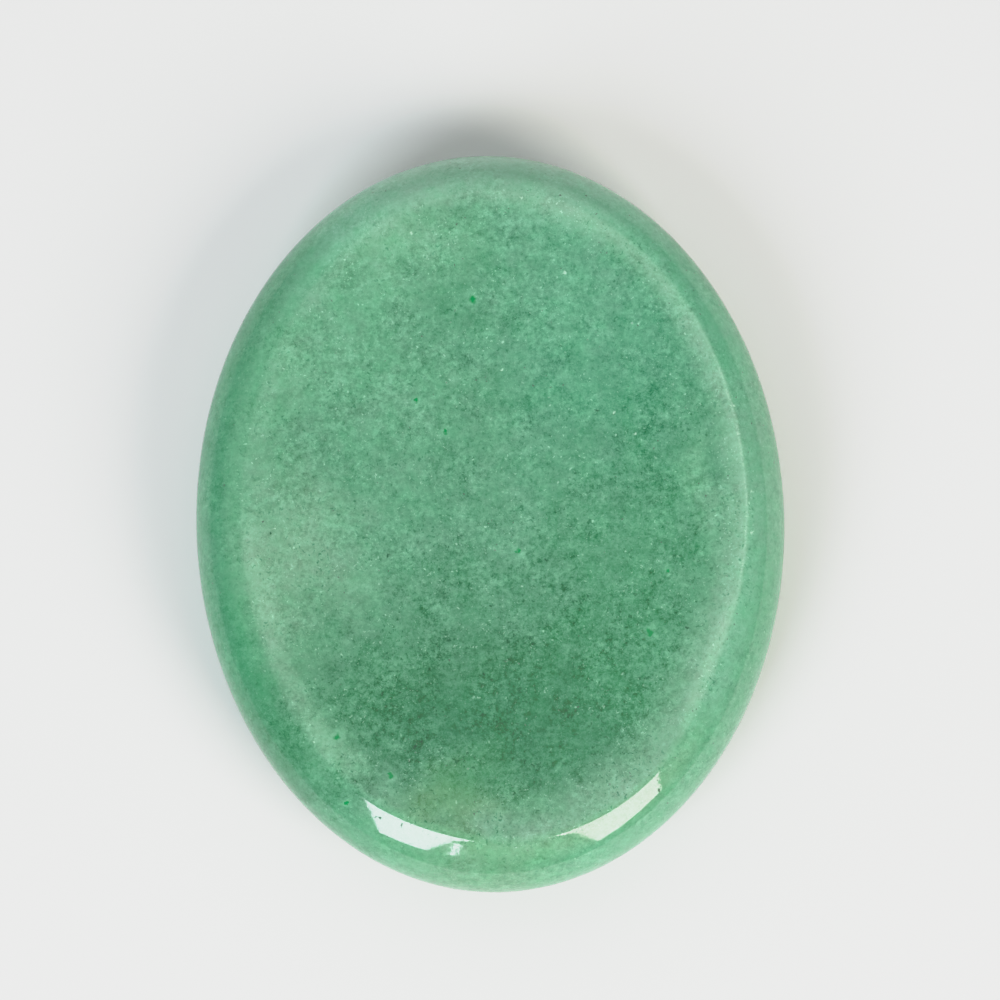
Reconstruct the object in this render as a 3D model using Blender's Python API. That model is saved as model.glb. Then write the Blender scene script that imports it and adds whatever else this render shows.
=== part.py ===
"""An oval palm stone with a shallow thumb hollow, lying on its small flat spot.

Metres, +Z up. X runs across the stone and Y along it. The origin is under the
middle of the stone, on the surface that it rests on.
"""

import math

import bmesh
import bpy
from mathutils import Vector

MM = 0.001

# Driving dimensions
LENGTH = 44.0 * MM
WIDTH = 35.0 * MM
THICKNESS = 7.8 * MM  # up to the crest of the rim, before the crest is rounded
RIM_RADIUS = 3.8 * MM  # round of the rim in section, from the crest down to the widest line
RIM_WIDTH = 2.6 * MM  # from the outline in to the crest, seen from above
CREST_REACH = 0.25 * MM  # how far the crest's rounding runs down each side of it
HOLLOW_DEPTH = 1.8 * MM  # from the crest down to the bottom of the thumb hollow
HOLLOW_SHIFT = Vector((0.25 * MM, 0.0))  # the hollow is ground a little off the middle
BELLY_RADIUS = 2.8 * MM  # round of the edge in section, below the widest line
BELLY_SLOPE = math.radians(15)  # the underside's slope where that round meets it
BASE_WIDTH = 10.0 * MM  # the flat spot underneath
BASE_LENGTH = 14.0 * MM

# How finely the surface is divided
SEGMENTS = 96
HOLLOW_RINGS = 9
CREST_RINGS = 4
RIM_RINGS = 5
BELLY_RINGS = 5
UNDERSIDE_RINGS = 5

# Polished green aventurine
STONE_COLOUR = (0.156, 0.397, 0.242, 1.0)
STONE_ROUGHNESS = 0.15

# Worked out from the dimensions above
CREST_RISE = RIM_RADIUS * math.sqrt(1 - (1 - RIM_WIDTH / RIM_RADIUS) ** 2)
WAIST_HEIGHT = THICKNESS - CREST_RISE  # height of the stone's widest line
HOLLOW_BOTTOM = Vector((*HOLLOW_SHIFT, THICKNESS - HOLLOW_DEPTH))
LEVEL = math.pi / 2  # lean of the surface on the widest line


def clear_scene():
    for thing in list(bpy.data.objects):
        bpy.data.objects.remove(thing)


def steps(start, end, count):
    """Even steps from start, which is left out, to end."""
    return [start + (end - start) * (i + 1) / count for i in range(count)]


def bend(start, corner, end, count):
    """Points along a curve that leaves start and reaches end on the straight lines to a corner."""
    return [start.lerp(corner, s).lerp(corner.lerp(end, s), s) for s in steps(0, 1, count)]


def hollow_point(crest, reach):
    """A point of the hollow's bowl. Reach is 0 at its bottom and 1 at the crest."""
    point = HOLLOW_BOTTOM.lerp(crest, reach)
    point.z = HOLLOW_BOTTOM.z + (crest.z - HOLLOW_BOTTOM.z) * reach**2
    return point


def edge_point(outline, outward, radius, lean):
    """A point of the rounded edge. Lean is the angle between its surface's normal and straight up."""
    plan = outline - outward * radius * (1 - math.sin(lean))
    return Vector((plan.x, plan.y, WAIST_HEIGHT + radius * math.cos(lean)))


def section(turn):
    """The stone's section in one direction, from near the hollow's bottom to the flat spot's edge."""
    outline = Vector((WIDTH * math.cos(turn), LENGTH * math.sin(turn))) / 2
    outward = Vector((math.cos(turn) / WIDTH, math.sin(turn) / LENGTH)).normalized()
    base = Vector((BASE_WIDTH * math.cos(turn), BASE_LENGTH * math.sin(turn), 0)) / 2

    # The hollow, then the rounded crest between it and the rim
    rim_width = RIM_WIDTH - HOLLOW_SHIFT.dot(outward)
    crest_lean = math.asin(1 - rim_width / RIM_RADIUS)
    crest = edge_point(outline, outward, RIM_RADIUS, crest_lean)
    bowl_end = 1 - CREST_REACH / (crest - HOLLOW_BOTTOM).xy.length
    hollow = [hollow_point(crest, reach) for reach in steps(0, bowl_end, HOLLOW_RINGS)]
    rim_lean = crest_lean + CREST_REACH / RIM_RADIUS
    rim_start = edge_point(outline, outward, RIM_RADIUS, rim_lean)
    rounding = bend(hollow[-1], crest, rim_start, CREST_RINGS)

    # The rim down to the widest line, and the tighter round below it
    rim = [edge_point(outline, outward, RIM_RADIUS, lean) for lean in steps(rim_lean, LEVEL, RIM_RINGS)]
    belly_leans = steps(LEVEL, math.pi - BELLY_SLOPE, BELLY_RINGS)
    belly = [edge_point(outline, outward, BELLY_RADIUS, lean) for lean in belly_leans]

    # The underside flattens out towards the flat spot
    inward = -outward * belly[-1].z / math.tan(BELLY_SLOPE)
    foot = belly[-1] + Vector((inward.x, inward.y, -belly[-1].z))
    underside = bend(belly[-1], foot, base, UNDERSIDE_RINGS)
    return hollow + rounding + rim + belly + underside


def stone_mesh():
    """A sphere whose rings are moved onto the stone's sections."""
    sections = [section(2 * math.pi * i / SEGMENTS) for i in range(SEGMENTS)]
    last_ring = len(sections[0]) + 1
    shape = bmesh.new()
    bmesh.ops.create_uvsphere(shape, u_segments=SEGMENTS, v_segments=last_ring, radius=1.0)
    for vert in shape.verts:
        ring = round(vert.co.angle(Vector((0, 0, 1))) / math.pi * last_ring)
        if ring == 0:
            vert.co = HOLLOW_BOTTOM
        elif ring == last_ring:
            vert.co = Vector()
        else:
            turn = math.atan2(vert.co.y, vert.co.x) / (2 * math.pi)
            vert.co = sections[round(turn * SEGMENTS) % SEGMENTS][ring - 1]
    mesh = bpy.data.meshes.new("stone")
    shape.to_mesh(mesh)
    shape.free()
    mesh.shade_smooth()
    return mesh


def stone_material():
    material = bpy.data.materials.new("green aventurine")
    material.use_nodes = True
    shader = material.node_tree.nodes["Principled BSDF"]
    shader.inputs["Base Color"].default_value = STONE_COLOUR
    shader.inputs["Roughness"].default_value = STONE_ROUGHNESS
    shader.inputs["Metallic"].default_value = 0.0
    return material


def main():
    clear_scene()
    collection = bpy.data.collections.new("palm stone")
    bpy.context.scene.collection.children.link(collection)
    stone = bpy.data.objects.new("stone", stone_mesh())
    stone.data.materials.append(stone_material())
    collection.objects.link(stone)


main()
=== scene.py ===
"""The looks of the palm stone: green aventurine, polished, under soft light on a pale table.

Metres, +Z up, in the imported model's frame. X runs across the stone and Y along it.
"""

import math

import bpy
import numpy as np
from mathutils import Matrix, Vector


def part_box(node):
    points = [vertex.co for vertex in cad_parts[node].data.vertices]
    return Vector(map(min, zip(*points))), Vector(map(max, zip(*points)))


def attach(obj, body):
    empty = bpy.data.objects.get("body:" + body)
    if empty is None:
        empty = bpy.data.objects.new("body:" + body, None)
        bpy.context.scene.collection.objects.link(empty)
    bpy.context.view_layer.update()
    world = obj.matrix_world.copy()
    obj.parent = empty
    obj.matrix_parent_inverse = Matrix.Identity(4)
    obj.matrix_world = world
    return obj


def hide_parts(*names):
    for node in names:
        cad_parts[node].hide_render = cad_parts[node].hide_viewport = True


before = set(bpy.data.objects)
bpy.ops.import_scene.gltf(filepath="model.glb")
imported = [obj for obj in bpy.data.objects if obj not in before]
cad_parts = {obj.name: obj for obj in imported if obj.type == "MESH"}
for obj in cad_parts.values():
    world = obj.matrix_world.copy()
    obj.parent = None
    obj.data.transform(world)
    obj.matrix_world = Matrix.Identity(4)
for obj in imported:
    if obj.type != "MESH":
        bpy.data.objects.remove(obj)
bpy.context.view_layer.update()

MM = 0.001

# The stone's section, as the solid has it
RIM_RADIUS = 3.8 * MM
RIM_WIDTH = 2.6 * MM
CREST_REACH = 0.25 * MM
HOLLOW_DEPTH = 1.8 * MM
HOLLOW_SHIFT = (0.25 * MM, 0.0)
BELLY_RADIUS = 2.8 * MM
BELLY_SLOPE = math.radians(15)
BASE_WIDTH = 10.0 * MM
BASE_LENGTH = 14.0 * MM
THICKNESS = 7.8 * MM

# Where the hand that ground the hollow strayed: direction and spread in degrees, and how far inwards.
# There the top of the rim, where its surface leans less than FLAT_LEAN, is drawn out flatter.
CREST_STRAYS = [(-27, 17, 0.45 * MM), (-74, 16, 0.22 * MM), (-104, 18, 0.5 * MM), (42, 26, -0.16 * MM)]
FLAT_LEAN = math.radians(36)

# Where the rim's round is tighter: direction and spread in degrees, and how much less its radius is
TIGHT_RIMS = [(180, 50, 0.8 * MM)]

# Where polishing has worn the crest round: direction and spread in degrees
WORN_REACH = 0.9 * MM
WORN_CRESTS = [(-31, 9), (62, 18), (95, 26), (145, 34), (192, 22)]

# How finely the surface is divided
SEGMENTS = 360
HOLLOW_RINGS = 70
CREST_RINGS = 14
RIM_RINGS = 26
BELLY_RINGS = 22
UNDERSIDE_RINGS = 34

# Camera, nearly straight above the stone
CAMERA_ELEVATION = math.radians(85)
CAMERA_ROLL = math.radians(1.55)
CAMERA_LENS = 250.0
SENSOR = 36.0
IMAGE = 1000.0
PIXELS_PER_MM = 16.786
STONE_PIXEL = (490.6, 523.2)
NEAREST_SEEN = 0.01

# The left lights are cool and the right ones are warm
LEFT_LIGHT = (0.88, 0.95, 0.97)
RIGHT_LIGHT = (1.0, 0.98, 0.87)

# The two side lights: their elevation, distance and size
SIDE_ELEVATION = math.radians(37)
SIDE_DISTANCE = 0.6
SIDE_WIDTH = 0.28
SIDE_LENGTH = 0.35

# The room's light, and the glow of the wall behind the stone, whose edges are cosines of the angle to its
# middle. Low on the left the room is brighter.
ROOM_LIGHT = 0.2
WALL_LIGHT = 0.92
WALL_DIRECTION = (-0.2, 0.8, 0.55)
WALL_EDGES = (0.42, 0.92)
LOW_WALL_LIGHT = 0.35
LOW_WALL_TOP = 0.4
LOW_WALL_SIDE = (0.0, -0.8)

# The table, with a matt white surface
TABLE_REACH = 1.5
TABLE_COLOUR = (0.82, 0.82, 0.825, 1.0)
TABLE_ROUGHNESS = 0.7
TABLE_GLOSS = 0.2

# The camera's response to light
RESPONSE_KNEE = 0.65
RESPONSE_LIMIT = 0.88
RESPONSE_REACH = 0.28
RESPONSE_WHITE = 2.0
RESPONSE_POINTS = 12
COMBINED_CURVE = 3


def oval(turn, width, length):
    return np.stack([width * np.cos(turn), length * np.sin(turn)], -1) / 2


def steps(start, end, count):
    """Even steps from start, which is left out, to end."""
    return [start + (end - start) * (i + 1) / count for i in range(count)]


def bend(start, corner, end, count):
    """Rings along a curve that leaves start and reaches end on the straight lines to a corner."""
    rings = []
    for s in steps(0, 1, count):
        first = start + (corner - start) * s
        second = corner + (end - corner) * s
        rings.append(first + (second - first) * s)
    return rings


class Section:
    """The stone's sections in all directions at once: each ring is an array of points."""

    def __init__(self, low, high):
        self.width, self.length = high.x - low.x, high.y - low.y
        self.turn = np.arange(SEGMENTS) * 2 * math.pi / SEGMENTS
        self.outline = oval(self.turn, self.width, self.length)
        outward = np.stack([np.cos(self.turn) / self.width, np.sin(self.turn) / self.length], -1)
        self.outward = outward / np.linalg.norm(outward, axis=1, keepdims=True)
        self.rim_width = RIM_WIDTH - self.outward @ np.array(HOLLOW_SHIFT)
        self.rim_radius = RIM_RADIUS - self.summed(TIGHT_RIMS)
        self.crest_lean = np.arcsin(1 - self.rim_width / self.rim_radius)
        self.stray = self.summed(CREST_STRAYS)
        worn = np.minimum(sum(self.near(direction, spread) for direction, spread in WORN_CRESTS), 1)
        self.crest_reach = CREST_REACH + (WORN_REACH - CREST_REACH) * worn
        crest_rise = self.rim_radius * np.sqrt(1 - (1 - RIM_WIDTH / self.rim_radius) ** 2)
        self.waist = THICKNESS - crest_rise - self.drawn_out(self.crest_lean)[1]
        self.bottom = np.array([*HOLLOW_SHIFT, THICKNESS - HOLLOW_DEPTH])

    def near(self, direction, spread):
        """How near each section is to a direction: 1 there, and falling away with this spread."""
        away = (np.degrees(self.turn) - direction + 180) % 360 - 180
        return np.exp(-(away / spread) ** 2)

    def summed(self, changes):
        """What the changes near their directions come to in each section."""
        return sum(amount * self.near(direction, spread) for direction, spread, amount in changes)

    def drawn_out(self, lean):
        """How much further in, and higher, the stray puts the rim where its surface has this lean."""
        part = np.clip((FLAT_LEAN - lean) / (FLAT_LEAN - self.crest_lean), 0, 1)
        inwards = self.stray * part**2
        middle = lean + (FLAT_LEAN - lean) / 3
        return inwards, inwards * np.tan(np.minimum(middle, FLAT_LEAN))

    def edge(self, radius, lean):
        """A ring of the rounded edge. Lean is the angle between its normal and straight up."""
        lean = np.broadcast_to(lean, self.turn.shape)
        inwards, higher = self.drawn_out(lean)
        plan = self.outline - self.outward * (radius * (1 - np.sin(lean)) + inwards)[:, None]
        return np.column_stack([plan, self.waist + radius * np.cos(lean) + higher])

    def bowl(self, crest, reach):
        """A ring of the thumb hollow. Reach is 0 at its bottom and 1 at the crest."""
        reach = np.broadcast_to(reach, self.turn.shape)[:, None]
        plan = self.bottom[:2] + (crest[:, :2] - self.bottom[:2]) * reach
        rise = (crest[:, 2:] - self.bottom[2]) * reach**2
        return np.column_stack([plan, self.bottom[2] + rise])

    def rings(self):
        """The rings from near the hollow's bottom to the flat spot's edge."""
        crest = self.edge(self.rim_radius, self.crest_lean)
        across = np.linalg.norm(crest[:, :2] - self.bottom[:2], axis=1)
        bowl_end = 1 - self.crest_reach / across
        hollow = [self.bowl(crest, reach) for reach in steps(0, bowl_end, HOLLOW_RINGS)]
        rim_lean = self.crest_lean + self.crest_reach / self.rim_radius
        rounding = bend(hollow[-1], crest, self.edge(self.rim_radius, rim_lean), CREST_RINGS)
        rim = [self.edge(self.rim_radius, lean) for lean in steps(rim_lean, math.pi / 2, RIM_RINGS)]
        leans = steps(math.pi / 2, math.pi - BELLY_SLOPE, BELLY_RINGS)
        belly = [self.edge(BELLY_RADIUS, lean) for lean in leans]
        foot = belly[-1].copy()
        foot[:, :2] -= self.outward * belly[-1][:, 2:] / math.tan(BELLY_SLOPE)
        foot[:, 2] = 0
        base = np.column_stack([oval(self.turn, BASE_WIDTH, BASE_LENGTH), 0 * self.turn])
        underside = bend(belly[-1], foot, base, UNDERSIDE_RINGS)
        return hollow + rounding + rim + belly + underside

    def from_crest(self, rings):
        """How far each point lies outside the crest line, in millimetres, measured square to the outline."""
        away = []
        for ring in rings:
            inwards = np.sum((self.outline - ring[:, :2]) * self.outward, axis=1)
            away.append((self.rim_width + self.stray - inwards) / MM)
        return away


def loft(name, top, rings, bottom):
    """A closed mesh from a top point, rings of points below it, and a bottom point."""
    points = np.concatenate([[top], *rings, [bottom]])
    last = len(points) - 1
    around = np.arange(SEGMENTS)
    beside = (around + 1) % SEGMENTS
    faces = [(0, 1 + a, 1 + b) for a, b in zip(around, beside)]
    for ring in range(len(rings) - 1):
        upper = 1 + ring * SEGMENTS
        lower = upper + SEGMENTS
        faces += [(upper + a, lower + a, lower + b, upper + b) for a, b in zip(around, beside)]
    final = 1 + (len(rings) - 1) * SEGMENTS
    faces += [(last, final + b, final + a) for a, b in zip(around, beside)]
    mesh = bpy.data.meshes.new(name)
    mesh.from_pydata(points.tolist(), [], [tuple(int(i) for i in face) for face in faces])
    mesh.shade_smooth()
    return mesh


class Shader:
    """Short ways to add and join the nodes of one material, or of the world."""

    def __init__(self, owner, surface="Principled BSDF"):
        owner.use_nodes = True
        self.tree = owner.node_tree
        self.surface = self.tree.nodes[surface]

    def node(self, kind, settings=None, **inputs):
        made = self.tree.nodes.new("ShaderNode" + kind)
        for key, value in (settings or {}).items():
            setattr(made, key, value)
        for key, value in inputs.items():
            self.put(made, key.replace("_", " "), value)
        return made

    def put(self, node, key, value):
        socket = node.inputs[int(key) if key.isdigit() else key]
        if isinstance(value, bpy.types.NodeSocket):
            self.tree.links.new(value, socket)
        else:
            socket.default_value = value

    def math(self, operation, first, second=0.0):
        made = self.node("Math", {"operation": operation})
        self.put(made, "0", first)
        self.put(made, "1", second)
        return made.outputs[0]

    def product(self, first, *others):
        for other in others:
            first = self.math("MULTIPLY", first, other)
        return first

    def vector_math(self, operation, *vectors, output="Vector"):
        made = self.node("VectorMath", {"operation": operation})
        for number, vector in enumerate(vectors):
            self.put(made, str(number), vector)
        return made.outputs[output]

    def between(self, value, source, target=(0.0, 1.0), smooth=False):
        """The value, mapped from one range to another and held within it."""
        made = self.node("MapRange", {"interpolation_type": "SMOOTHSTEP" if smooth else "LINEAR"})
        self.put(made, "Value", value)
        for key, number in zip(("From Min", "From Max", "To Min", "To Max"), (*source, *target)):
            self.put(made, key, number)
        return made.outputs["Result"]

    def fade(self, value, source):
        """0 at the range's first end and 1 at its second, with no hard edge."""
        return self.between(value, source, smooth=True)

    def mix(self, factor, first, second, blend="MIX"):
        made = self.node("Mix", {"data_type": "RGBA", "blend_type": blend})
        self.put(made, "0", factor)
        self.put(made, "6", first)
        self.put(made, "7", second)
        return made.outputs[2]

    def parts(self, vector):
        return self.node("SeparateXYZ", Vector=vector).outputs

    def channels(self, colour):
        return self.node("SeparateColor", Color=colour).outputs

    def noise(self, place, scale, detail=2.0, roughness=0.5, distortion=0.0, output="Fac"):
        made = self.node("TexNoise", Scale=scale, Detail=detail, Roughness=roughness, Distortion=distortion)
        self.put(made, "Vector", place)
        return made.outputs[output]

    def warped(self, place, scale, amount, detail=1.0, roughness=0.5):
        """The place, pushed about by a noise. The push is half of the amount on average."""
        push = self.noise(place, scale, detail, roughness, output="Color")
        return self.vector_math("MULTIPLY_ADD", push, (amount,) * 3, place)

    def cells(self, place, scale):
        made = self.node("TexVoronoi", Scale=scale)
        self.put(made, "Vector", place)
        return made.outputs


def rgb(red, green, blue):
    """A display colour, 0 to 255, as the linear colour that a shader takes."""
    def linear(value):
        value /= 255
        return value / 12.92 if value <= 0.04045 else ((value + 0.055) / 1.055) ** 2.4
    return (linear(red), linear(green), linear(blue), 1.0)


# In the stone's material, places and lengths are in millimetres and scales are per millimetre, unless they
# are multiplied by MM. Where a value has two pairs of numbers, it maps the first range to the second.

# Broad zones of colour: middle, half width and half length, colour, strength. Some of them are painted light
# and shade, marked below.
ZONES = [
    # Painted light: the left inner slope, lighter where it faces the lights.
    ((-12.2, -2.3), (4.6, 4.6), rgb(130, 175, 147), 0.7),
    ((-9.0, 13.0), (5.0, 6.0), rgb(112, 169, 138), 0.6),
    # Painted shade: the front of the hollow, darker where its slope faces away from the lights.
    ((1.5, -10.2), (11.5, 6.0), rgb(46, 120, 80), 0.8),
    # Painted shade: the right inner slope, darker as it faces away from the stronger light on the right.
    ((9.5, -3.0), (5.0, 9.0), rgb(62, 140, 98), 0.6),
    ((7.5, -12.5), (4.5, 4.0), rgb(48, 132, 88), 0.5),
    ((-1.0, -13.0), (6.0, 2.8), rgb(38, 120, 80), 0.75),
    ((-3.5, -17.8), (3.5, 1.4), rgb(86, 144, 92), 0.6),
    ((0.2, -16.4), (4.0, 1.5), rgb(62, 138, 92), 0.5),
    ((0.3, 18.8), (2.6, 1.2), rgb(82, 146, 114), 0.35),
    ((7.0, 9.0), (5.0, 6.0), rgb(82, 156, 124), 0.4),
    ((-14.0, -9.0), (3.0, 7.0), rgb(64, 138, 97), 0.4),
    ((-12.6, 7.5), (2.6, 5.0), rgb(114, 170, 138), 0.5),
    ((-5.0, 17.1), (5.0, 1.8), rgb(128, 182, 150), 0.5),
    ((4.5, 12.5), (4.0, 2.5), rgb(108, 168, 138), 0.4),
    ((-4.0, 7.5), (4.0, 3.0), rgb(108, 164, 134), 0.45),
    ((-15.2, 4.5), (1.5, 5.0), rgb(104, 168, 134), 0.5),
    ((-8.8, -12.6), (1.3, 2.2), rgb(132, 194, 158), 0.52),
    ((7.0, 3.2), (2.5, 2.5), rgb(76, 140, 106), 0.5),
    ((-6.6, 1.0), (2.6, 8.0), rgb(102, 160, 129), 0.45),
    ((-9.2, 16.0), (1.6, 1.6), rgb(92, 154, 120), 0.4),
    ((2.4, -4.8), (2.5, 2.0), rgb(72, 136, 102), 0.5),
    ((3.4, 16.4), (3.0, 1.8), rgb(118, 176, 148), 0.4),
    ((13.0, 0.5), (1.2, 4.0), rgb(132, 186, 154), 0.35),
]
BASE_COLOUR = rgb(89, 148, 117)
ZONE_WANDER = 9.0  # how far the zones' edges wander
ZONE_WARP_SCALE = 0.16
ZONE_FADE = (1.7, 0.2)  # where a zone fades in, in its own half sizes

# Painted glow at the crest: a paler colour that stands in for light coming through the thin edge. Its widest
# stretch reaches further in towards the front, and is stronger on the right.
PAINTED_GLOW_COLOUR = rgb(156, 198, 172)
GLOW_INNER_EDGE = (-10.0, 0.0), (-3.8, -1.7)
GLOW_WHOLE = -0.1
GLOW_OUTER_EDGE = (0.3, 0.0)
GLOW_STRENGTH = (-4.0, 6.0), (0.1, 0.42)

# The painted glow's other stretches. Each has its middle, measured outwards from the crest line, and how far
# from there it begins and is whole. Then come its two ends along the stone, and its strength across the
# stone.
PAINTED_CREST_GLOWS = [
    (-0.15, (0.9, 0.0), ((-3.0, -6.5), (-14.0, -10.0)), ((6.0, 11.0), (0.0, 0.42))),
    (-0.6, (1.1, 0.1), ((-15.0, -10.0), (2.0, -4.0)), ((-7.0, -10.0), (0.0, 0.25))),
    (-0.1, (0.45, 0.05), ((-9.0, -5.0), (12.0, 8.0)), ((8.0, 11.0), (0.0, 0.22))),
]

# The rim's colours, which paint its light and shade, and how far outside the crest line each edge colour
# begins and is whole
RIM_START = (-0.5, 0.5)
RIM_STRENGTH = 0.7
SHADED_RIM_LEFT = rgb(84, 151, 114)
SHADED_RIM_LEFT_EDGE = rgb(58, 138, 98)
LEFT_EDGE = (0.6, 1.8)
RIM_LOWER_LEFT = rgb(58, 114, 80)
LOWER_LEFT_STRENGTH = 0.7
RIM_LOWER_RIGHT = rgb(102, 165, 131)
RIM_RIGHT = rgb(122, 179, 150)
RIM_RIGHT_EDGE = rgb(94, 164, 126)
RIGHT_EDGE = (0.9, 1.9)
LIT_RIM_TOP = rgb(128, 184, 154)
UPPER_RIM_TINT = (0.78, 1.03, 0.95, 1.0)
RIM_BOTTOM = rgb(118, 168, 132)
RIM_BOTTOM_EDGE = rgb(102, 152, 117)
BOTTOM_EDGE = (0.8, 1.6)

# Regions of the rim: each edge has its axis, where the region begins to show, and where it is whole
LOWER_LEFT = [("Y", (-7.0, -14.0)), ("X", (-3.0, -10.0))]
LOWER_RIGHT = [("Y", (-6.0, -12.0)), ("X", (0.0, 6.0))]
TOP = [("Y", (11.0, 18.0)), ("X", (-13.0, -6.0)), ("X", (13.0, 7.0))]
BOTTOM = [("Y", (-10.0, -17.0)), ("X", (-9.0, -2.0))]
LEFT_TO_RIGHT = [("X", (-14.0, -2.0))]
UPPER_HALF = [("Y", (4.0, 11.0))]
UPPER_SIDES = (4.0, 9.0)

# What grain of strength 1 adds to the colour, and grain of strength -1 takes away. The strength is held
# within its limits, and the colour stays above the least one.
GRAIN = (0.066, 0.118, 0.091)
GRAIN_LIMITS = (-1.4, 1.4)
LEAST_COLOUR = (0.014, 0.06, 0.04)

# Mottling, and quartz grains in it. Their strength changes with how far onto the rim they are, from patch to
# patch, with how pale the stone is, and with how far across from the left they are.
MOTTLE_SCALE = 1.1
MOTTLE_RANGE = (0.2, 0.8), (-1.45, 1.45)
CELL_SCALE = 4.6
CELL_RANGE = (0.0, 1.0), (-0.4, 0.4)
PATCH_SCALE = 0.35
GRAIN_BY_RIM = (0.0, 0.8), (1.0, 0.68)
GRAIN_BY_PATCH = (0.35, 0.65), (0.65, 1.3)
GRAIN_BY_TONE = (0.17, 0.40), (1.1, 0.88)
GRAIN_BY_SIDE = (-14.0, -8.0), (0.85, 1.0)

# The mottling's two hues, one purer green and the other greyer
DEEP_HUE = (0.91, 1.02, 0.97, 1.0)
PALE_HUE = (1.09, 0.98, 1.03, 1.0)
HUE_SCALE = 0.5
HUE_RANGE = (0.3, 0.7)

# Dark flakes, which leave this much of the colour. They are fainter on the rim and towards the back.
FLAKE = (0.2, 0.52, 0.4, 1.0)
FLAKE_SCALE = 5.0
FLAKE_EDGE = (0.61, 0.71)
FLAKE_CROWD_SCALE = 0.45
FLAKES_BY_CROWD = (0.4, 0.62), (0.25, 1.0)
FLAKES_BY_RIM = (0.0, 0.8), (1.0, 0.5)
FLAKES_BY_LENGTH = (2.0, -9.0), (0.7, 1.0)

# Painted glints, which add this much to the colour: fine ones in crowds, and larger single points
PAINTED_GLINT = (0.18, 0.24, 0.215, 1.0)
FINE_SCALE = 7.5
FINE_EDGE = (0.66, 0.74)
GLINT_CROWD_SCALE = 0.6
GLINTS_BY_CROWD = (0.42, 0.62), (0.2, 1.0)
FINE_BY_RIM = (0.0, 0.8), (1.0, 0.4)
POINT_SIZES = (0.07, 0.24)
POINT_EDGE = (1.0, 0.5)
POINT_CHANCE = (0.82, 0.92)
POINTS_BY_RIM = (0.0, 0.8), (1.0, 0.5)

# Grains that are cells of irregular shape. Some hold a painted glint's point, and others a pit.
POINT_SCALE = 2.6
RAGGED_SCALE = 4.5
RAGGED = 0.25

# Marks that stand out in the dish and on the rim: middle and radius
EMERALD_MARKS = [(9.2, -7.0, 0.24), (1.6, -1.9, 0.2), (-0.7, 13.1, 0.24), (-9.4, -12.7, 0.2),
                 (-2.5, 5.3, 0.17), (-6.3, -15.1, 0.18), (10.4, -3.4, 0.15), (-8.9, -16.6, 0.13),
                 (-4.2, 7.2, 0.15)]
DARK_MARKS = [(11.4, -6.8, 0.12), (6.5, 6.3, 0.13), (-6.1, -1.9, 0.14), (3.3, -2.5, 0.13), (-0.1, -5.1, 0.12),
              (-13.0, -0.55, 0.11)]
# The pale marks along the right crest, near x = 15, are painted glints.
PALE_AND_GLINT_MARKS = [(7.5, 6.1, 0.16), (8.7, 4.9, 0.15), (-4.2, 17.1, 0.16), (2.4, 19.0, 0.15), (14.5, 6.3, 0.14),
              (4.8, 14.5, 0.11), (0.9, 8.9, 0.13), (-10.8, -13.0, 0.13), (-12.8, -0.3, 0.11),
              (14.8, 4.6, 0.16), (15.5, 1.1, 0.16), (15.3, 0.4, 0.12), (15.4, -1.3, 0.13)]
MARK_RAGGED = 0.45  # how far the noise pushes the marks' edges about
MARK_SCALE = 3.5
FAR_OFF = 1000.0  # further than any mark is, in its own radii

# The marks' colours. The pairs map the distance, in the mark's own radii, to the colour's strength.
EMERALD = rgb(0, 136, 74)
EMERALD_EDGE = (1.1, 0.5), (0.0, 1.0)
HALO = rgb(140, 204, 172)
HALO_EDGE = (3.0, 1.0), (0.0, 0.2)
DARK = rgb(20, 84, 54)
DARK_EDGE = (1.0, 0.4), (0.0, 0.9)
PALE = rgb(204, 242, 220)
PALE_EDGE = (0.8, 0.1), (0.0, 0.7)

# Pits in the polish: the largest, with middle and radius, and the finer ones that some of the grains hold
PITS = [(-6.95, -17.55, 0.1), (-7.15, -17.5, 0.07), (-5.75, -18.0, 0.1), (9.48, -16.34, 0.11)]
PIT_COLOUR = rgb(62, 80, 70)
PIT_STRENGTH = 0.8
PIT_DULLNESS = 0.6
PIT_GLOSS = 0.3
PIT_EDGE = (1.0, 0.6)
FINE_PIT_SIZES = (0.07, 0.18)
FINE_PIT_EDGE = (1.0, 0.7)
FINE_PIT_CHANCE = (0.82, 0.87)

# The worn, frosted line along the crest, plainest on the right. It is duller, and its paler colour is a
# painted highlight.
PAINTED_CREST_HIGHLIGHT = rgb(176, 212, 190)
PAINTED_HIGHLIGHT_STRENGTH = 0.3
WEAR_DULLNESS = 0.3
WEAR_AND_HIGHLIGHT_EDGE = (0.16, 0.02)
WEAR_AND_HIGHLIGHT_WANDER_SCALE = 0.8
WEAR_AND_HIGHLIGHT_WANDER = (0.3, 0.7), (-0.06, 0.06)
WEAR_AND_HIGHLIGHT_PATCH_SCALE = 5.0
WEAR_AND_HIGHLIGHT_BY_PATCH = (0.35, 0.6), (0.3, 1.0)
WEAR_AND_HIGHLIGHT_ELSEWHERE = 0.12
WORN_AND_LIT_SIDE = [("X", (5.0, 11.0)), ("Y", (-9.0, -4.0)), ("Y", (13.0, 9.0))]

# The polish, its faint relief, and the light that passes under it
POLISH_SCALE = 1.5
POLISH = (0.3, 0.7), (0.03, 0.07)
GLOSS = 0.62
QUARTZ_IOR = 1.54
RELIEF_SCALE = 3.0
RELIEF_STRENGTH = 0.2
RELIEF_HEIGHT = 0.01 * MM
SUBSURFACE = 0.4
SUBSURFACE_REACH = 0.2 * MM
SUBSURFACE_COLOURS = (0.8, 1.3, 1.0)


def region(s, place, edges, smooth=True):
    """1 in a region of the stone, given by its edges, and 0 outside it."""
    return s.product(*[s.between(place[axis], edge, smooth=smooth) for axis, edge in edges])


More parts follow.
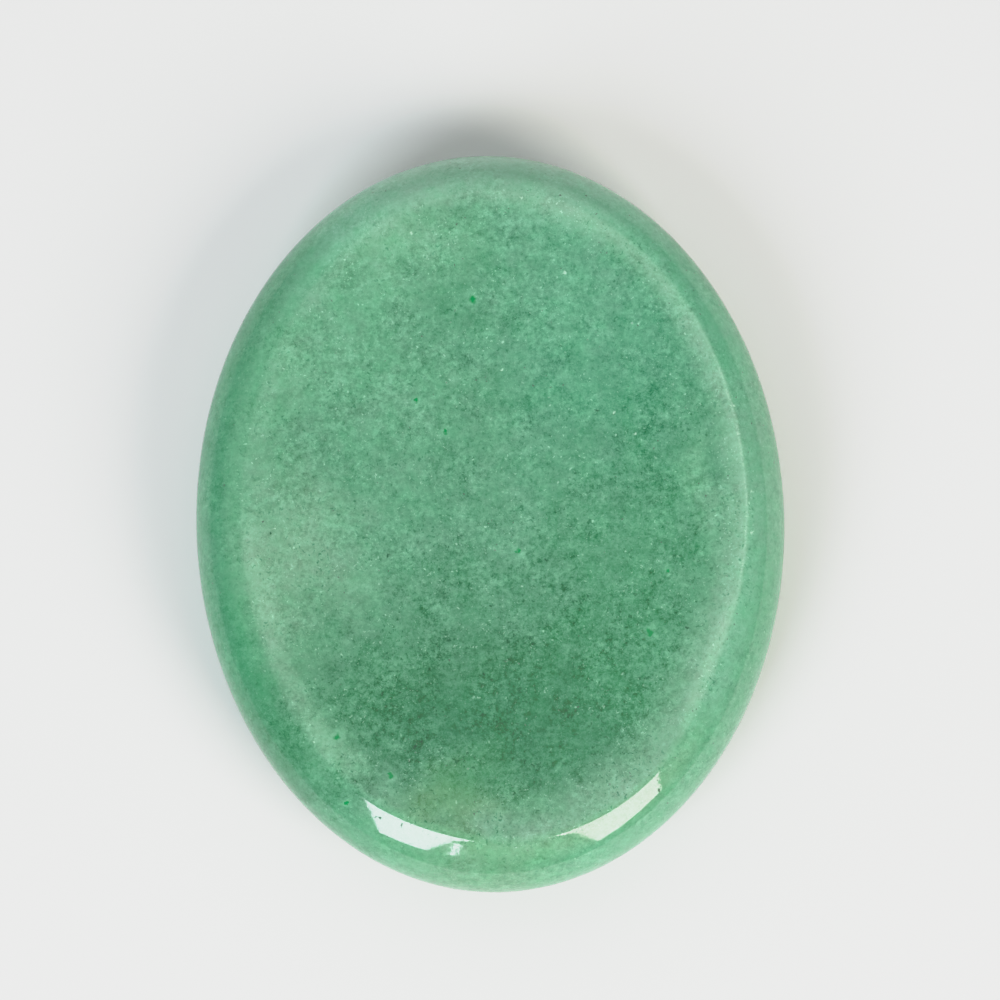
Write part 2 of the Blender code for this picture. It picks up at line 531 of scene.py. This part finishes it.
def zones(s, mm):
    """The broad colours, partly the stone's own and partly painted light and shade, with wandering edges."""
    moved = s.warped(mm, ZONE_WARP_SCALE, ZONE_WANDER, detail=2.0, roughness=0.6)
    colour = BASE_COLOUR
    for (x, y), (half_width, half_length), zone_colour, strength in ZONES:
        x += ZONE_WANDER / 2
        y += ZONE_WANDER / 2
        away = s.vector_math("MULTIPLY_ADD", moved, (1 / half_width, 1 / half_length, 0.0),
                             (-x / half_width, -y / half_length, 0.0))
        distance = s.vector_math("LENGTH", away, output="Value")
        colour = s.mix(s.between(distance, ZONE_FADE, (0.0, strength), smooth=True), colour, zone_colour)
    return colour


def crest_glow(s, place, away, colour):
    """Painted glow: paler colour just inside the crest, standing in for light that comes through the thin
    edge.
    """
    inner_edge = s.between(place["Y"], *GLOW_INNER_EDGE)
    glow = s.product(s.fade(away, (inner_edge, GLOW_WHOLE)), s.between(away, GLOW_OUTER_EDGE),
                     s.between(place["X"], *GLOW_STRENGTH))
    colour = s.mix(glow, colour, PAINTED_GLOW_COLOUR)
    for middle, edge, ends, strength in PAINTED_CREST_GLOWS:
        distance = s.math("ABSOLUTE", s.math("SUBTRACT", away, middle))
        stretch = s.product(s.fade(distance, edge), s.fade(place["Y"], ends[0]), s.fade(place["Y"], ends[1]),
                            s.between(place["X"], *strength))
        colour = s.mix(stretch, colour, PAINTED_GLOW_COLOUR)
    return colour


def rim_colour(s, place, away):
    """Painted light and shade on the rim: deep green on the left, where less light falls, and deepest towards
    its edge; paler on the right; pale at the top and the bottom, where light comes through and is reflected.
    """
    left = s.mix(s.between(away, LEFT_EDGE), SHADED_RIM_LEFT, SHADED_RIM_LEFT_EDGE)
    left = s.mix(s.product(region(s, place, LOWER_LEFT), LOWER_LEFT_STRENGTH), left, RIM_LOWER_LEFT)
    lower_right = region(s, place, LOWER_RIGHT)
    edge = s.mix(lower_right, RIM_RIGHT_EDGE, RIM_LOWER_RIGHT)
    right = s.mix(s.between(away, RIGHT_EDGE), RIM_RIGHT, edge)
    colour = s.mix(region(s, place, LEFT_TO_RIGHT), left, right)
    colour = s.mix(region(s, place, TOP), colour, LIT_RIM_TOP)
    sides = s.between(s.math("ABSOLUTE", place["X"]), UPPER_SIDES)
    colour = s.mix(s.product(region(s, place, UPPER_HALF), sides), colour, UPPER_RIM_TINT, "MULTIPLY")
    below = s.mix(lower_right, RIM_BOTTOM_EDGE, RIM_LOWER_RIGHT)
    below = s.mix(s.between(away, BOTTOM_EDGE), RIM_BOTTOM, below)
    return s.mix(region(s, place, BOTTOM), colour, below)


def with_rim(s, place, away, colour):
    """The colour inside the crest, passing into the rim's painted light and shade."""
    rim = s.between(away, RIM_START, (0.0, RIM_STRENGTH), smooth=True)
    return s.mix(rim, colour, rim_colour(s, place, away))


def grain(s, mm, ragged, place, away, colour):
    """Quartz grains and mottling, from a millimetre down, calmer on the rim."""
    mottle = s.between(s.noise(mm, MOTTLE_SCALE, detail=4.0, roughness=1.0), *MOTTLE_RANGE)
    cell = s.between(s.cells(ragged, CELL_SCALE)["Color"], *CELL_RANGE)
    amount = s.product(s.math("ADD", mottle, cell),
                       s.between(away, *GRAIN_BY_RIM),
                       s.between(s.noise(mm, PATCH_SCALE), *GRAIN_BY_PATCH),
                       s.between(s.channels(colour)["Green"], *GRAIN_BY_TONE),
                       s.between(place["X"], *GRAIN_BY_SIDE))
    hue = s.between(s.noise(mm, HUE_SCALE, detail=3.0, roughness=0.8), HUE_RANGE)
    colour = s.mix(1.0, colour, s.mix(hue, DEEP_HUE, PALE_HUE), "MULTIPLY")
    held = s.between(amount, GRAIN_LIMITS, GRAIN_LIMITS)
    return s.vector_math("MAXIMUM", s.vector_math("MULTIPLY_ADD", held, GRAIN, colour), LEAST_COLOUR)


def flakes(s, mm, place, away, colour):
    """Green mica: small dark specks in loose clusters."""
    dark = s.between(s.noise(mm, FLAKE_SCALE, detail=1.0, distortion=0.6), FLAKE_EDGE)
    crowd = s.product(s.between(s.noise(mm, FLAKE_CROWD_SCALE, detail=3.0), *FLAKES_BY_CROWD),
                      s.between(away, *FLAKES_BY_RIM),
                      s.between(place["Y"], *FLAKES_BY_LENGTH))
    return s.mix(s.product(dark, crowd), colour, FLAKE, "MULTIPLY")


def glints(s, mm, points, away, colour):
    """Painted glints: pale points where a flake or a grain's face would catch the light."""
    fine = s.between(s.noise(mm, FINE_SCALE, detail=1.0, distortion=0.8), FINE_EDGE)
    crowd = s.between(s.noise(mm, GLINT_CROWD_SCALE, detail=3.0, distortion=0.5), *GLINTS_BY_CROWD)
    colour = s.mix(s.product(fine, crowd, s.between(away, *FINE_BY_RIM)), colour, PAINTED_GLINT, "ADD")
    distance, chance = points
    size = s.between(chance["Green"], (0.0, 1.0), POINT_SIZES)
    point = s.product(s.between(s.math("DIVIDE", distance, size), POINT_EDGE),
                      s.between(chance["Red"], POINT_CHANCE),
                      s.between(away, *POINTS_BY_RIM))
    return s.mix(point, colour, PAINTED_GLINT, "ADD")


def nearest(s, plan, marks):
    """How far off the nearest of the marks is, in its own radii."""
    least = FAR_OFF
    for x, y, radius in marks:
        middle = (x + MARK_RAGGED / 2, y + MARK_RAGGED / 2, 0.0)
        distance = s.vector_math("DISTANCE", plan, middle, output="Value")
        least = s.math("MINIMUM", s.math("DIVIDE", distance, radius), least)
    return least


def marks(s, plan, colour):
    """The flecks that stand out: emerald mica with a pale halo, dark specks and white ones, of which those
    along the right crest are painted glints.
    """
    emerald = nearest(s, plan, EMERALD_MARKS)
    colour = s.mix(s.between(emerald, *HALO_EDGE), colour, HALO)
    colour = s.mix(s.between(emerald, *EMERALD_EDGE), colour, EMERALD)
    colour = s.mix(s.between(nearest(s, plan, DARK_MARKS), *DARK_EDGE), colour, DARK)
    return s.mix(s.between(nearest(s, plan, PALE_AND_GLINT_MARKS), *PALE_EDGE), colour, PALE)


def crest_wear(s, mm, place, away):
    """How frosted the surface is, and how strong the painted highlight: a fine worn line along the crest,
    broken up by the grain.
    """
    wander = s.between(s.noise(mm, WEAR_AND_HIGHLIGHT_WANDER_SCALE), *WEAR_AND_HIGHLIGHT_WANDER)
    line = s.fade(s.math("ABSOLUTE", s.math("ADD", away, wander)), WEAR_AND_HIGHLIGHT_EDGE)
    patches = s.between(s.noise(mm, WEAR_AND_HIGHLIGHT_PATCH_SCALE, detail=3.0, roughness=0.8), *WEAR_AND_HIGHLIGHT_BY_PATCH)
    side = region(s, place, WORN_AND_LIT_SIDE, smooth=False)
    return s.product(line, patches, s.between(side, (0.0, 1.0), (WEAR_AND_HIGHLIGHT_ELSEWHERE, 1.0)))


def pitted(s, points, plan):
    """1 in the tiny dull pits where a grain has come out of the polish: the largest ones, and finer ones."""
    distance, chance = points
    size = s.between(chance["Green"], (0.0, 1.0), FINE_PIT_SIZES)
    fine = s.product(s.between(s.math("DIVIDE", distance, size), FINE_PIT_EDGE),
                     s.between(chance["Blue"], FINE_PIT_CHANCE))
    return s.math("MAXIMUM", fine, s.between(nearest(s, plan, PITS), PIT_EDGE))


def relief(s, mm):
    """The polished grain's faint relief."""
    bump = s.node("Bump", Strength=RELIEF_STRENGTH, Distance=RELIEF_HEIGHT)
    s.put(bump, "Height", s.noise(mm, RELIEF_SCALE, detail=3.0, roughness=0.6))
    return bump.outputs["Normal"]


def aventurine():
    material = bpy.data.materials.new("green aventurine")
    s = Shader(material)

    # The place on the stone, in several forms
    mm = s.vector_math("MULTIPLY", s.node("TexCoord").outputs["Object"], (1 / MM,) * 3)
    place = s.parts(mm)
    away = s.node("Attribute", {"attribute_name": "from_crest"}).outputs["Fac"]
    ragged = s.warped(mm, RAGGED_SCALE, RAGGED)
    plan = s.vector_math("MULTIPLY", s.warped(mm, MARK_SCALE, MARK_RAGGED), (1.0, 1.0, 0.0))
    cells = s.cells(ragged, POINT_SCALE)
    points = cells["Distance"], s.channels(cells["Color"])

    # Colour, from the broadest forms to the finest
    # The glow at the crest and some of the zones are painted light and shade.
    colour = crest_glow(s, place, away, zones(s, mm))
    colour = with_rim(s, place, away, colour)
    colour = grain(s, mm, ragged, place, away, colour)
    colour = flakes(s, mm, place, away, colour)
    colour = glints(s, mm, points, away, colour)
    colour = marks(s, plan, colour)
    wear_and_highlight = crest_wear(s, mm, place, away)
    # Painted highlight: the crest line is paler where its rounding catches the light.
    colour = s.mix(s.product(wear_and_highlight, PAINTED_HIGHLIGHT_STRENGTH), colour, PAINTED_CREST_HIGHLIGHT)
    pit = pitted(s, points, plan)
    s.put(s.surface, "Base Color", s.mix(s.product(pit, PIT_STRENGTH), colour, PIT_COLOUR))

    # Polish, duller where the stone is worn or pitted
    polish = s.between(s.noise(mm, POLISH_SCALE, detail=4.0), *POLISH)
    dull = s.math("ADD", s.product(wear_and_highlight, WEAR_DULLNESS), s.product(pit, PIT_DULLNESS))
    s.put(s.surface, "Roughness", s.math("ADD", polish, dull))
    s.put(s.surface, "Normal", relief(s, mm))
    s.put(s.surface, "IOR", QUARTZ_IOR)
    s.put(s.surface, "Specular IOR Level", s.between(pit, (0.0, 1.0), (GLOSS, PIT_GLOSS)))

    # A little light passes under the surface
    s.put(s.surface, "Subsurface Weight", SUBSURFACE)
    s.put(s.surface, "Subsurface Radius", SUBSURFACE_COLOURS)
    s.put(s.surface, "Subsurface Scale", SUBSURFACE_REACH)
    return material


def stone():
    low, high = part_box("stone")
    section = Section(low, high)
    rings = section.rings()
    mesh = loft("palm_stone", section.bottom, rings, np.zeros(3))
    far = -section.width / 2 / MM
    away = np.concatenate([[far], *section.from_crest(rings), [far]]).astype(np.float32)
    mesh.attributes.new("from_crest", "FLOAT", "POINT").data.foreach_set("value", away)
    mesh.materials.append(aventurine())
    made = bpy.data.objects.new("palm_stone", mesh)
    bpy.context.scene.collection.objects.link(made)
    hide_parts("stone")
    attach(made, "root")


def floor():
    mesh = bpy.data.meshes.new("table")
    corners = [(-1, -1), (1, -1), (1, 1), (-1, 1)]
    mesh.from_pydata([(x * TABLE_REACH, y * TABLE_REACH, 0) for x, y in corners], [], [(0, 1, 2, 3)])
    material = bpy.data.materials.new("table")
    s = Shader(material)
    s.put(s.surface, "Base Color", TABLE_COLOUR)
    s.put(s.surface, "Roughness", TABLE_ROUGHNESS)
    s.put(s.surface, "Specular IOR Level", TABLE_GLOSS)
    mesh.materials.append(material)
    made = bpy.data.objects.new("table", mesh)
    bpy.context.scene.collection.objects.link(made)


def softbox(name, edge, across, away, width, length, colour, radiance, mirrored=True):
    """A flat soft box from the middle of its near edge, along the edge and away from it.

    A mirrored one only shows in the polish. The others give the stone and the table their light.
    """
    x = Vector(across).normalized()
    y = Vector(away)
    y = (y - y.dot(x) * x).normalized()
    centre = Vector(edge) + y * length / 2
    z = x.cross(y)
    if z.dot(centre) < 0:
        x, z = -x, -z
    light = bpy.data.lights.new(name, "AREA")
    light.shape = "RECTANGLE"
    light.size = width
    light.size_y = length
    light.color = colour
    light.energy = radiance * math.pi * width * length
    made = bpy.data.objects.new(name, light)
    made.matrix_world = Matrix.Translation(centre) @ Matrix((x, y, z)).transposed().to_4x4()
    made.visible_camera = False
    made.visible_glossy = mirrored
    made.visible_diffuse = not mirrored
    bpy.context.scene.collection.objects.link(made)


def side_light(name, turn, colour, radiance):
    """A soft box that faces the stone from a direction on the plan, in degrees anticlockwise from +X."""
    turn = math.radians(turn)
    outward = Vector((math.cos(turn), math.sin(turn), 0))
    upward = Vector((0, 0, 1))
    away = upward * math.cos(SIDE_ELEVATION) - outward * math.sin(SIDE_ELEVATION)
    middle = (outward * math.cos(SIDE_ELEVATION) + upward * math.sin(SIDE_ELEVATION)) * SIDE_DISTANCE
    softbox(name, middle - away * SIDE_LENGTH / 2, outward.cross(upward), away,
            SIDE_WIDTH, SIDE_LENGTH, colour, radiance, mirrored=False)


def lights():
    side_light("left side light", turn=228, colour=LEFT_LIGHT, radiance=9.5)
    side_light("right side light", turn=-43, colour=RIGHT_LIGHT, radiance=9.6)
    softbox("left softbox", edge=(-0.2402, -0.5139, 0.2529), across=(0.61, -0.544, 0.576),
            away=(0.402, 0.839, 0.367), width=0.141, length=0.37, colour=LEFT_LIGHT, radiance=11.8)
    softbox("narrow softbox", edge=(-0.135, -0.524, 0.301), across=(0.97, -0.247, 0.0),
            away=(0.055, 0.214, 0.082), width=0.011, length=0.2, colour=LEFT_LIGHT, radiance=11.8)
    softbox("right softbox", edge=(0.355, -0.456, 0.162), across=(0.936, 0.07, 0.346),
            away=(-0.339, 0.452, 0.825), width=0.26, length=0.46, colour=RIGHT_LIGHT, radiance=8.9)


def studio_walls():
    """The room's pale light, with a soft glow from a white wall behind the stone."""
    world = bpy.data.worlds.new("studio")
    s = Shader(world, "Background")
    direction = s.node("TexCoord").outputs["Generated"]
    facing = s.vector_math("DOT_PRODUCT", direction, Vector(WALL_DIRECTION).normalized(), output="Value")
    x, _, z = s.parts(direction)
    low = s.product(s.fade(z, (LOW_WALL_TOP, 0.0)), s.between(x, LOW_WALL_SIDE))
    room = s.math("ADD", ROOM_LIGHT, s.product(low, LOW_WALL_LIGHT))
    s.put(s.surface, "Color", (1.0, 1.0, 1.0, 1.0))
    s.put(s.surface, "Strength", s.between(facing, WALL_EDGES, (room, WALL_LIGHT), smooth=True))
    bpy.context.scene.world = world


def camera():
    data = bpy.data.cameras.new("camera")
    data.lens = CAMERA_LENS
    data.sensor_width = SENSOR
    data.shift_x = 0.5 - STONE_PIXEL[0] / IMAGE
    data.shift_y = STONE_PIXEL[1] / IMAGE - 0.5
    data.clip_start = NEAREST_SEEN
    made = bpy.data.objects.new("camera", data)
    bpy.context.scene.collection.objects.link(made)
    back = Vector((0, -math.cos(CAMERA_ELEVATION), math.sin(CAMERA_ELEVATION)))
    distance = IMAGE / PIXELS_PER_MM * MM * CAMERA_LENS / SENSOR
    place = Vector((0, 0, THICKNESS / 2)) + back * distance
    look = (-back).to_track_quat("-Z", "Y").to_matrix() @ Matrix.Rotation(-CAMERA_ROLL, 3, "Z")
    made.matrix_world = Matrix.Translation(place) @ look.to_4x4()
    bpy.context.scene.camera = made


def response(light):
    """The camera's answer to light: even up to the knee, then rolling off towards its limit."""
    over = max(light - RESPONSE_KNEE, 0)
    rise = 1 - math.exp(-over / RESPONSE_REACH)
    return min(light, RESPONSE_KNEE) + (RESPONSE_LIMIT - RESPONSE_KNEE) * rise


def camera_response():
    view = bpy.context.scene.view_settings
    view.view_transform = "Standard"
    view.use_curve_mapping = True
    mapping = view.curve_mapping
    mapping.white_level = (RESPONSE_WHITE,) * 3
    curve = mapping.curves[COMBINED_CURVE]
    curve.points[0].location = (0, 0)
    curve.points[1].location = (1, response(RESPONSE_WHITE))
    for light in np.linspace(RESPONSE_KNEE, RESPONSE_WHITE, RESPONSE_POINTS, endpoint=False):
        curve.points.new(light / RESPONSE_WHITE, response(light))
    for point in curve.points:
        point.handle_type = "VECTOR"
    mapping.update()


stone()
floor()
lights()
studio_walls()
camera()
camera_response()
